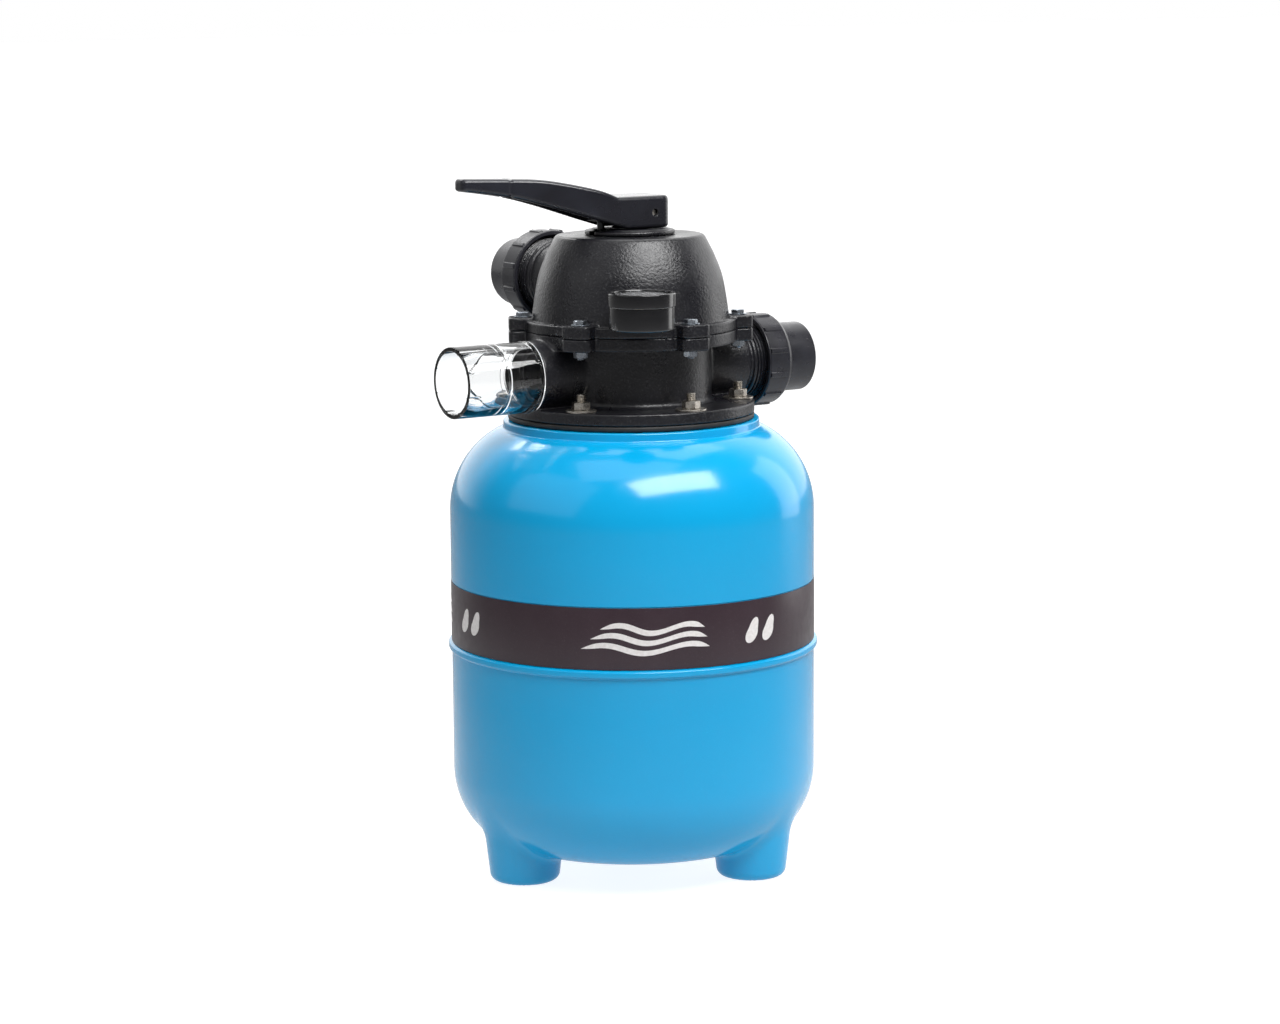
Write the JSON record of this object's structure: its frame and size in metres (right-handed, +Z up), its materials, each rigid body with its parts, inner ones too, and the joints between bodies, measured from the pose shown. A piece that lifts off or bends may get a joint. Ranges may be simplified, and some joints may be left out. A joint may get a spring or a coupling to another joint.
{
  "type": "pool sand filter",
  "caption": "Round moulded sand-filter tank on feet, with a top-mounted multiport valve, lever handle, pipe unions, sight glass and pressure gauge.",
  "frame": {"origin": "on the floor plane under the middle of the whole outline; the tank's axis is the vertical line x = 0, y = -0.01095 m", "axes": "+Z up along the tank's axis, -X along the waste port and sight glass, +X along the return port, +Y along the pump port, so -Y is the gauge side"},
  "size_m": [0.337, 0.3272, 0.5756],
  "materials": {
    "tank_blue": "semi-gloss blow-moulded polyethylene",
    "band_print": null,
    "inner_white": "plain moulded ABS",
    "seal_rubber": "dull black rubber",
    "valve_black": "satin black moulded plastic, faintly mottled",
    "fitting_black": "semi-gloss dark grey PVC",
    "handle_grey": "semi-gloss charcoal moulded plastic",
    "stainless_steel": "plain stainless fasteners",
    "zinc_plated_steel": "bluish zinc plating",
    "spring_steel": "drawn wire",
    "clear_tube": "clear moulded plastic",
    "gauge_black": "glossy black",
    "gauge_window": "clear polished window",
    "dial_white": "printed dial",
    "needle_black": "satin black",
    "brass": "turned brass"
  },
  "bodies": {
    "root": {"tank_shell": "tank_blue", "label_band": "band_print", "standpipe": "inner_white", "lateral_hub": "inner_white", "top_diffuser": "inner_white", "lateral_1": "inner_white", "lateral_2": "inner_white", "lateral_3": "inner_white", "lateral_4": "inner_white", "lateral_5": "inner_white", "lateral_6": "inner_white", "flange_gasket": "seal_rubber", "lid_oring": "seal_rubber", "spider_gasket": "seal_rubber", "stem_seal": "seal_rubber", "return_oring": "seal_rubber", "pump_oring": "seal_rubber", "valve_body": "valve_black", "valve_lid": "valve_black", "return_tail": "fitting_black", "pump_tail": "fitting_black", "tank_stud_1": "stainless_steel", "tank_stud_2": "stainless_steel", "tank_stud_3": "stainless_steel", "tank_stud_4": "stainless_steel", "tank_stud_5": "stainless_steel", "tank_stud_6": "stainless_steel", "tank_nut_1": "stainless_steel", "tank_nut_2": "stainless_steel", "tank_nut_3": "stainless_steel", "tank_nut_4": "stainless_steel", "tank_nut_5": "stainless_steel", "tank_nut_6": "stainless_steel", "lid_bolt_1": "zinc_plated_steel", "lid_bolt_2": "zinc_plated_steel", "lid_bolt_3": "zinc_plated_steel", "lid_bolt_4": "zinc_plated_steel", "lid_bolt_5": "zinc_plated_steel", "lid_bolt_6": "zinc_plated_steel", "lid_nut_1": "zinc_plated_steel", "lid_nut_2": "zinc_plated_steel", "lid_nut_3": "zinc_plated_steel", "lid_nut_4": "zinc_plated_steel", "lid_nut_6": "zinc_plated_steel", "sight_glass": "clear_tube", "gauge_case": "gauge_black", "gauge_bezel": "gauge_black", "gauge_lens": "gauge_window", "gauge_dial": "dial_white", "gauge_stem": "brass"},
    "turntable": {"thrust_disc": "valve_black"},
    "stem": {"valve_stem": "handle_grey", "rotor": "inner_white", "rotor_spring": "spring_steel", "handle_pin": "stainless_steel"},
    "lever": {"handle": "handle_grey"},
    "return_union_nut": {"return_nut": "fitting_black"},
    "pump_union_nut": {"pump_nut": "fitting_black"},
    "needle": {"gauge_needle": "needle_black"}
  },
  "joints": [
    {"name": "handle_turn", "type": "hinge", "parent": "root", "child": "turntable", "pos_m": [0, -0.01095, 0.5246], "axis": [0, 0, 1], "continuous": true},
    {"name": "stem_lift", "type": "slide", "parent": "turntable", "child": "stem", "axis": [0, 0, 1], "range_m": [0, 0.0054], "stiffness_N_per_m": 400, "springref_m": -0.02, "deforming": ["rotor_spring"]},
    {"name": "handle_tilt", "type": "hinge", "parent": "stem", "child": "lever", "pos_m": [0.0105, -0.01095, 0.5428], "axis": [0, -1, 0], "range_deg": [0, 12]},
    {"name": "return_nut_turn", "type": "hinge", "parent": "root", "child": "return_union_nut", "pos_m": [0.1254, -0.01095, 0.414], "axis": [1, 0, 0], "continuous": true},
    {"name": "pump_nut_turn", "type": "hinge", "parent": "root", "child": "pump_union_nut", "pos_m": [0, 0.12155, 0.4823], "axis": [0, 1, 0], "continuous": true},
    {"name": "gauge_needle_turn", "type": "hinge", "parent": "root", "child": "needle", "pos_m": [-0.0544, -0.11114, 0.48], "axis": [0, 0, -1], "range_deg": [0, 270]}
  ],
  "couplings": [
    {"joint": "stem_lift", "follows": "handle_tilt", "m_per_rad": 0.0254}
  ]
}
